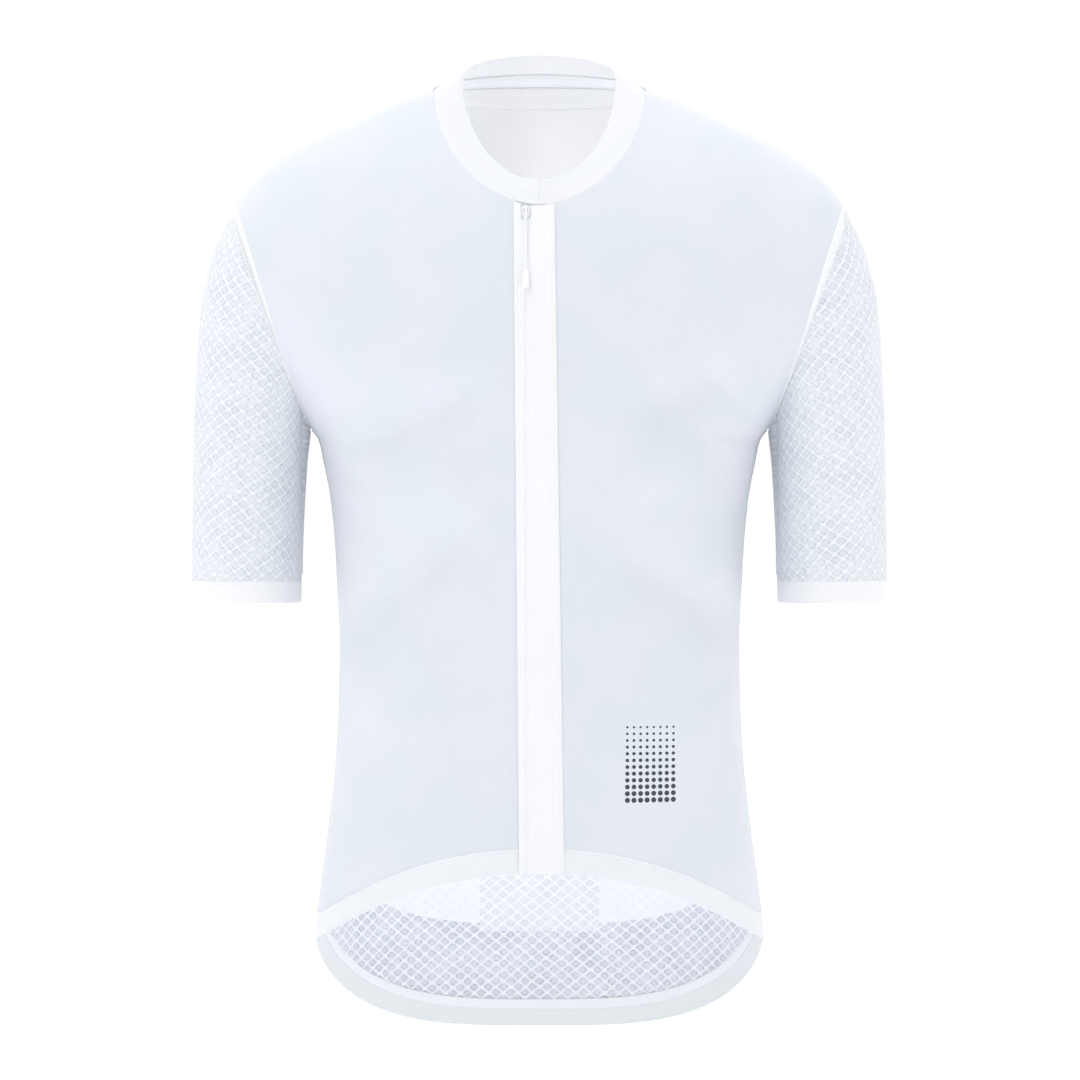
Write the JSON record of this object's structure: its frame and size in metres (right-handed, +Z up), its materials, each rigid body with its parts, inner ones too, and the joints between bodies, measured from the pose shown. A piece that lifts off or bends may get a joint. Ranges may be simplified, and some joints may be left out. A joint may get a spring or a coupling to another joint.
{
  "type": "cycling jersey",
  "caption": "Short-sleeved white cycling jersey in its worn form, with a full-length zip under a placket, net sleeves and back, rear pockets and a dropped gripper tail.",
  "frame": {"origin": "between the shoulders, midway front to back of the shoulder line, at the level where the collar meets it", "axes": "+X to the wearer's left, -Y out of the chest, +Z up towards the collar"},
  "size_m": [0.515, 0.2399, 0.7381],
  "materials": {
    "knit": "smooth white stretch knit",
    "mesh_knit": "white knit with a diamond relief and fine open cells",
    "trim": "bright white bonded elastic band",
    "gripper": "pale grey translucent gripper elastic",
    "zip_tape": "white woven tape",
    "zip_plastic": "white moulded nylon"
  },
  "bodies": {
    "garment": {"front_right": "knit", "front_left": "knit", "back_yoke": "knit", "back": "mesh_knit", "sleeve_right": "mesh_knit", "sleeve_left": "mesh_knit", "cuff_right": "trim", "cuff_left": "trim", "collar": "trim", "neck_tape": "trim", "neck_facing": "knit", "zip_tape": "zip_tape", "zip_chain": "zip_plastic", "zip_slider": "zip_plastic", "zip_garage": "trim", "placket_strip": "trim", "placket_flap": "trim", "front_hem_right": "trim", "front_hem_left": "trim", "tail_hem": "gripper", "pocket_right": "knit", "pocket_centre": "mesh_knit", "pocket_left": "knit"},
    "pull": {"zip_pull": "zip_plastic"}
  },
  "joints": [
    {"name": "pull_swing", "type": "hinge", "parent": "garment", "child": "pull", "pos_m": [-0.0098, -0.099, -0.09528], "axis": [-1, 0, 0], "range_deg": [0, 150]}
  ]
}
